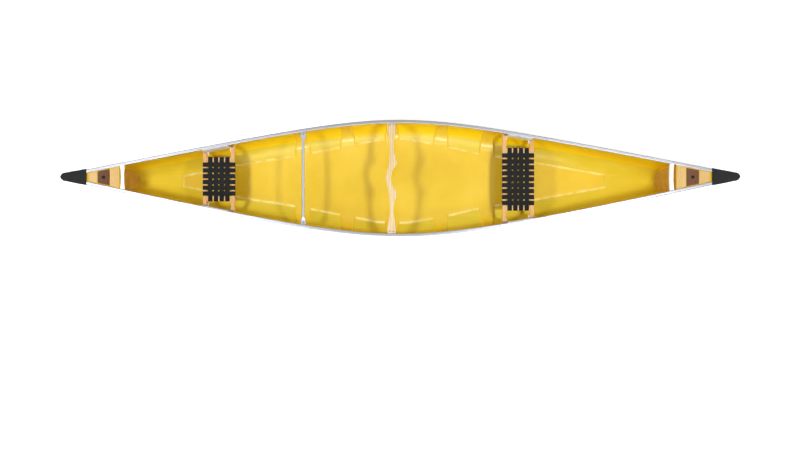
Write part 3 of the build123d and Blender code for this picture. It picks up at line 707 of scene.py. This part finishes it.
# End caps: moulded shells with rounded shoulders.
def end_cap(end, name):
    """Cap at an end, 1 for the bow and -1 for the stern, drawn along +X and turned by the sign."""
    start = CAP_STARTS[end]
    base = (start, half_breadth(start, sheer(end * start)) + GUNWALE_OUT + CAP_WALL)
    shoulder = (TIP - CAP_NOSE, CAP_NOSE_HALF)
    stations = [base[0] + (shoulder[0] - base[0]) * i / 22 for i in range(23)]
    rim_ends = (0.0006, 0.0015, CAP_RIM_LENGTH - 0.002, CAP_RIM_LENGTH, CAP_RIM_LENGTH + 0.0015)
    stations = sorted(set(stations + [start + v for v in rim_ends]))
    radius = (CAP_NOSE**2 + CAP_NOSE_HALF**2) / (2 * CAP_NOSE)
    turns = np.linspace(math.asin(CAP_NOSE_HALF / radius), 0.02, 14)
    nose = [TIP - radius + radius * math.cos(a) for a in turns]
    stations += [v for v in nose if v > shoulder[0] + 0.0005]

    def width(x):
        if x > shoulder[0]:
            return math.sqrt(max(radius**2 - (x - TIP + radius) ** 2, 1e-8))
        t = (x - base[0]) / (shoulder[0] - base[0])
        return base[1] + (shoulder[1] - base[1]) * t + 4 * CAP_BULGE * t * (1 - t)

    def ring(x, grow):
        """Half section from the middle of the top to the skirt's lower edge, shrunk by grow."""
        over = CAP_RIM if x < start + CAP_RIM_LENGTH - 0.0001 else 0.0
        if x < start + 0.001:
            over -= CAP_EASING
        half = width(x) + over - grow
        level = float(sheer(end * x))
        top = level + CAP_TOP + over - grow
        foot = level - CAP_SKIRT if x >= start + CAP_SETBACK - 1e-4 else level + GUNWALE_CROWN
        bend = min(CAP_SHOULDER, half * 0.9, (top - foot) * 0.8)
        outline = [(half - bend) * i / 5 for i in range(5)]
        section = [(v, top - CAP_CROWN * (v / max(half, 1e-6)) ** 2) for v in outline]
        for i in range(7):
            a = math.pi / 2 * i / 6
            section.append((half - bend + bend * math.sin(a),
                            top - CAP_CROWN - bend + bend * math.cos(a)))
        section.append((half, foot + (top - bend - foot) * 0.5))
        section.append((half, foot + 0.0008))
        section.append((max(half - 0.0006, 0.0), foot))
        return section

    split = start + CAP_SETBACK
    stations = sorted(set(stations + [split - 0.0002, split]))
    points, faces, outer, inner = [], [], [], []
    for shells, grow in ((outer, 0.0), (inner, CAP_WALL)):
        for x in stations:
            if grow and x > TIP - CAP_WALL - 0.001:
                continue
            half = ring(x, grow)
            full = [(-y, z) for y, z in reversed(half[1:])] + half
            shells.append(list(range(len(points), len(points) + len(full))))
            points.extend((end * x, y, z) for y, z in full)
    for shells in (outer, inner):
        for a, b in zip(shells, shells[1:]):
            faces += [[a[i], a[i + 1], b[i + 1], b[i]] for i in range(len(a) - 1)]
    # The wall's lower edges, its edge at the root, and the nose, which is solid past the inner shell.
    for k, (a, b) in enumerate(zip(outer, inner)):
        for i in (0, -1):
            if k + 1 < len(inner):
                faces.append([a[i], outer[k + 1][i], inner[k + 1][i], b[i]])
    a, b = outer[0], inner[0]
    faces += [[a[i], a[i + 1], b[i + 1], b[i]] for i in range(len(a) - 1)]
    faces.append(outer[-1])
    faces.append(inner[-1])
    tail = outer[len(inner) - 1:]
    low = [r[0] for r in tail] + [r[-1] for r in reversed(tail)]
    faces.append(low + [inner[-1][-1], inner[-1][0]])
    piece(name, points, faces, BLACK, "black_plastic", name.replace("_moulded", ""), degrees=35.0)


end_cap(1, "bow_end_cap_moulded")
end_cap(-1, "stern_end_cap_moulded")

# Decks and carry handles.
for end in ("bow", "stern"):
    softened(f"{end}_deck_inner_strip", LIGHT_WOOD, 0.0022)
    softened(f"{end}_deck_middle_strip", DARK_WOOD, 0.0018)
    softened(f"{end}_deck_outer_strip", LIGHT_WOOD, 0.0022)
    paint(f"{end}_deck_grommet", RUBBER)
    softened(f"{end}_carry_handle", HANDLE, 0.0040)

# Yoke, thwart and their fittings.
softened("portage_yoke", YOKE_WOOD, 0.0015)
paint("yoke_brackets", BRACKET)
paint("yoke_bolts", STEEL)
paint("thwart", TUBE)
paint("thwart_brackets", BRACKET)
paint("thwart_bolts", STEEL)


# Seats: rounded wood frames with woven webbing.
def ribbon(path, axis, place, points, faces):
    """Strap of the webbing's section along a path of (along, height), added to the lists."""
    half, thick = STRAP_WIDTH / 2, STRAP_THICKNESS / 2
    section = [(-half, 0.0), (-half + 0.0004, 0.7), (-half + 0.0014, 1.0), (-half / 2, 1.0)]
    section += [(0.0, 1.0)] + [(-v, w) for v, w in reversed(section)]
    section += [(v, -w) for v, w in reversed(section[1:-1])]
    rings = []
    for k, (u, z) in enumerate(path):
        before, after = path[max(k - 1, 0)], path[min(k + 1, len(path) - 1)]
        run = Vector((after[0] - before[0], after[1] - before[1])).normalized()
        ring = []
        for across, out in section:
            along, height = u - run.y * out * thick, z + run.x * out * thick
            ring.append(len(points))
            spot = (along, place + across) if axis == "X" else (place + across, along)
            points.append((*spot, height))
        rings.append(ring)
    n = len(section)
    for a, b in zip(rings, rings[1:]):
        faces += [[a[i], a[(i + 1) % n], b[(i + 1) % n], b[i]] for i in range(n)]
    faces += [rings[0][::-1], rings[-1]]


def strap_path(low, high, top, bottom, member, crossings, first, base):
    """Round under one member, over, woven through the crossings, and round under the other.

    The members' far sides are at low and high. The strap goes over the first crossing when
    first is 1 and under it when first is -1, and it lies at the height base on the members.
    """
    half = STRAP_THICKNESS / 2
    r = BAR_ROUND + half
    left, right, under = low - half, high + half, bottom - half
    arc = [math.pi / 2 * i / 6 for i in range(7)]
    path = [(low + member - STRAP_TAIL, under), (left + r + 0.006, under)]
    path += [(left + r - r * math.sin(v), under + r - r * math.cos(v)) for v in arc]
    path += [(left, (under + base) / 2)]
    path += [(left + r - r * math.cos(v), base - r + r * math.sin(v)) for v in arc]
    start, stop = low + member - 0.001, high - member + 0.001
    lift = half + WEAVE_GAP
    spacing = crossings[1] - crossings[0]
    steps = 8 * (len(crossings) + 1)
    for i in range(steps + 1):
        u = start + (stop - start) * i / steps
        phase = math.cos(math.pi * (u - crossings[0]) / spacing)
        level = math.sin(max(-1.0, min(1.0, phase * WEAVE_STEEPNESS)) * math.pi / 2)
        blend = min(min(u - start, stop - u) / WEAVE_BLEND, 1.0)
        z = top + first * level * lift
        path.append((u, z * blend + base * (1 - blend)))
    path += [(right - r + r * math.sin(v), base - r + r * math.cos(v)) for v in arc]
    path += [(right, (under + base) / 2)]
    path += [(right - r + r * math.cos(v), under + r - r * math.sin(v)) for v in arc]
    path += [(right - r - 0.006, under), (high - member + STRAP_TAIL, under)]
    return path


def seat(end, count, pitch):
    """Seat with so many lengthwise straps at a pitch, and four crosswise ones."""
    rear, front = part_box(f"{end}_seat_rear_bar"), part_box(f"{end}_seat_front_bar")
    top, bottom = rear[1].z, rear[0].z
    low, high = rear[0].x, front[1].x
    middle = (low + high) / 2
    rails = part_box(f"{end}_seat_rails")
    across = [middle + (i - 1.5) * CROSS_PITCH for i in range(4)]
    along = [(i - (count - 1) / 2) * pitch for i in range(count)]
    half = STRAP_THICKNESS / 2
    points, faces = [], []
    for i, place in enumerate(along):
        path = strap_path(low, high, top, bottom, BAR_WIDTH, across, (-1) ** i, top + half)
        ribbon(path, "X", place, points, faces)
    piece(f"{end}_seat_webbing_lengthwise", points, faces, ALONG, "webbing",
          f"{end}_seat_lengthwise_straps", degrees=50.0)
    points, faces = [], []
    left, right = rails[0].y, rails[1].y
    for i, place in enumerate(across):
        path = strap_path(left, right, top, bottom, RAIL_WIDTH, along, -((-1) ** i), top - half)
        ribbon(path, "Y", place, points, faces)
    piece(f"{end}_seat_webbing_crosswise", points, faces, ACROSS, "webbing",
          f"{end}_seat_crosswise_straps", degrees=50.0)
    softened(f"{end}_seat_rear_bar", BAR_WOOD, 0.0015)
    softened(f"{end}_seat_front_bar", BAR_WOOD, 0.0015)
    softened(f"{end}_seat_rails", RAIL_WOOD, 0.0015)
    paint(f"{end}_seat_hanger_port", HANGER)
    paint(f"{end}_seat_hanger_starboard", HANGER)
    paint(f"{end}_seat_bolts", STEEL)


seat("bow", 9, 0.0464)
seat("stern", 6, 0.0452)


# ---- Floor, light and camera ----------------------------------------------------
def pale_floor():
    """White to the eye, mid grey to the object, so that the floor doesn't light it from below."""
    s = Shader("pale_floor", Roughness=0.9)
    s.colour(s.ramp(s.noise(0.4, 2.0), (0.0, 0.80), (1.0, 0.84)))
    s.bsdf.inputs["Emission Color"].default_value = (1, 1, 1, 1)
    s.bsdf.inputs["Emission Strength"].default_value = 0.72
    grey = s.add("ShaderNodeBsdfDiffuse")
    grey.inputs["Color"].default_value = (FLOOR_GREY, FLOOR_GREY, FLOOR_GREY, 1)
    seen = s.add("ShaderNodeLightPath").outputs["Is Camera Ray"]
    choice = s.add("ShaderNodeMixShader")
    s.feed(choice.inputs[0], seen)
    s.feed(choice.inputs[1], grey.outputs[0])
    s.feed(choice.inputs[2], s.bsdf.outputs[0])
    s.feed(s.tree.nodes["Material Output"].inputs["Surface"], choice.outputs[0])
    return s.material


floor_mesh = bpy.data.meshes.new("floor")
corners = [(x * FLOOR_REACH, y * FLOOR_REACH, 0) for x, y in ((-1, -1), (1, -1), (1, 1), (-1, 1))]
floor_mesh.from_pydata(corners, [], [(0, 1, 2, 3)])
floor_mesh.materials.append(pale_floor())
floor = bpy.data.objects.new("floor", floor_mesh)
bpy.context.scene.collection.objects.link(floor)


def studio_world():
    """White to the eye; as light, dim and a little brighter from -Y; brighter in mirrors."""
    world = bpy.data.worlds.new("studio")
    bpy.context.scene.world = world
    world.use_nodes = True
    tree = world.node_tree
    background = tree.nodes["Background"]
    background.inputs["Color"].default_value = (1, 1, 1, 1)
    split = tree.nodes.new("ShaderNodeSeparateXYZ")
    tree.links.new(tree.nodes.new("ShaderNodeTexCoord").outputs["Generated"], split.inputs[0])
    side = tree.nodes.new("ShaderNodeMapRange")
    settings = {"From Min": -1.0, "From Max": 1.0, "To Min": WORLD_NEAR, "To Max": WORLD_FAR}
    for key, value in settings.items():
        side.inputs[key].default_value = value
    tree.links.new(split.outputs["Y"], side.inputs["Value"])
    path = tree.nodes.new("ShaderNodeLightPath")
    strength = side.outputs[0]
    for ray, value in (("Is Glossy Ray", WORLD_MIRRORED), ("Is Camera Ray", 1.0)):
        choice = tree.nodes.new("ShaderNodeMix")
        tree.links.new(path.outputs[ray], choice.inputs[0])
        tree.links.new(strength, choice.inputs[2])
        choice.inputs[3].default_value = value
        strength = choice.outputs[0]
    tree.links.new(strength, background.inputs["Strength"])


studio_world()


def softbox(name, place, aim, size, power, mirrored=True):
    """Area light; not mirrored means that gloss doesn't show it."""
    data = bpy.data.lights.new(name, "AREA")
    data.shape = "RECTANGLE"
    data.size, data.size_y = size
    data.energy = power
    light = bpy.data.objects.new(name, data)
    light.location = place
    light.rotation_euler = (Vector(aim) - Vector(place)).to_track_quat("-Z", "Y").to_euler()
    light.visible_camera = False
    light.visible_glossy = mirrored
    bpy.context.scene.collection.objects.link(light)
    return light


# Two small softboxes overhead give the sharp shadows, and long ones the bright lines.
# The low ones beside the boat and at its ends light the outside.
softbox("softbox_left", SOFTBOX_LEFT, (-1.1, 0, 0.1), (0.14, 0.5), 72, mirrored=False)
softbox("softbox_right", SOFTBOX_RIGHT, (0.9, 0, 0.1), (0.14, 0.5), 74, mirrored=False)
softbox("strip_near", (0, -2.4, 3.6), (0, 0.2, 0.2), (5.0, 0.16), 18)
for name, side in (("softbox_near_side", -1), ("softbox_far_side", 1)):
    softbox(name, (0, side * 5.0, 0.45), (0, 0, 0.2), (6.5, 0.8), 200, mirrored=False)
for name, end in (("softbox_stern", -1), ("softbox_bow", 1)):
    softbox(name, (end * 6.5, 0, 0.45), (0, 0, 0.25), (1.4, 0.8), 80, mirrored=False)
glint = softbox("strip_glint", (0, -3.2, 2.6), (0, -0.3, 0.0), (6.0, 0.9), 120)
glint.visible_diffuse = False

# The two softboxes again, larger, as only the gunwales and handles mirror them.
rails = bpy.data.collections.new("mirroring_rails")
for side in ("port", "starboard"):
    rails.objects.link(nodes[f"gunwale_{side}"])
for end in ("bow", "stern"):
    rails.objects.link(bpy.data.objects[f"{end}_carry_handle_rounded"])
for place in (SOFTBOX_LEFT, SOFTBOX_RIGHT):
    mirrored = softbox("softbox_mirrored", place, (place[0], 0, 0.3), (0.9, 1.6), 34)
    mirrored.visible_diffuse = False
    mirrored.light_linking.receiver_collection = rails

camera_data = bpy.data.cameras.new("camera")
camera_data.lens = CAMERA_LENS
camera_data.sensor_width = CAMERA_SENSOR
camera_data.clip_end = 200.0
camera = bpy.data.objects.new("camera", camera_data)
camera.location = CAMERA_PLACE
bpy.context.scene.collection.objects.link(camera)
bpy.context.scene.camera = camera
bpy.context.scene.view_settings.view_transform = "Standard"
bpy.context.scene.view_settings.look = "None"
